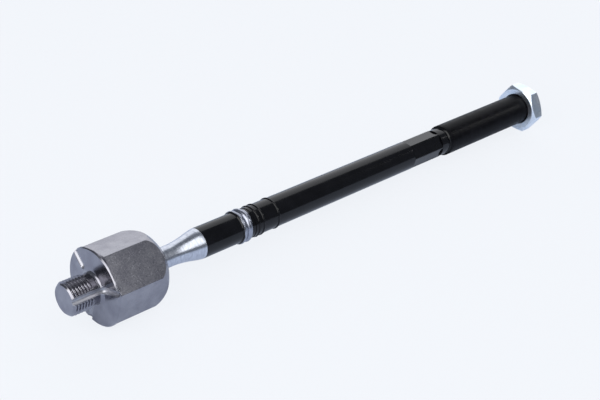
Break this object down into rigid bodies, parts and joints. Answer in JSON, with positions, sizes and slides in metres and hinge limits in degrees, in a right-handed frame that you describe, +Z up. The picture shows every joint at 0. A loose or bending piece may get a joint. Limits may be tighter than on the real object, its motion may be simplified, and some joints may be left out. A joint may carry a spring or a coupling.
{
  "type": "inner tie rod",
  "caption": "Axial steering joint: hexagonal ball housing with a threaded rack stud, a slender rod with boot ridges, a covered end thread and a lock nut.",
  "frame": {"origin": "centre of the seating face of the housing, on the axis of the rack stud", "axes": "+X along the rod towards the wheel end, +Z up with one flat of the lock nut facing down, as the part lies on a table"},
  "size_m": [0.3185, 0.0372, 0.0372],
  "materials": {
    "forged_steel": "bare forged and machined steel, grey satin",
    "bearing_plastic": "moulded acetal bearing shell",
    "coated_steel": "black coating, satin, with a bare zinc cone",
    "sleeve_plastic": "black moulded plastic, satin",
    "zinc_steel": "bright zinc plate"
  },
  "bodies": {
    "housing": {"stud_housing": "forged_steel"},
    "race": {"ball_race": "bearing_plastic"},
    "rod": {"ball_rod": "coated_steel", "thread_sleeve": "sleeve_plastic"},
    "nut": {"lock_nut": "zinc_steel"}
  },
  "joints": [
    {"name": "joint_turn", "type": "hinge", "parent": "housing", "child": "race", "pos_m": [0.019, 0, 0], "axis": [1, 0, 0], "continuous": true},
    {"name": "joint_swing", "type": "hinge", "parent": "race", "child": "rod", "pos_m": [0.019, 0, 0], "axis": [0, 1, 0], "range_deg": [-20, 20]},
    {"name": "nut_turn", "type": "hinge", "parent": "rod", "child": "nut", "pos_m": [0.2975, 0, 0], "axis": [1, 0, 0], "continuous": true}
  ]
}
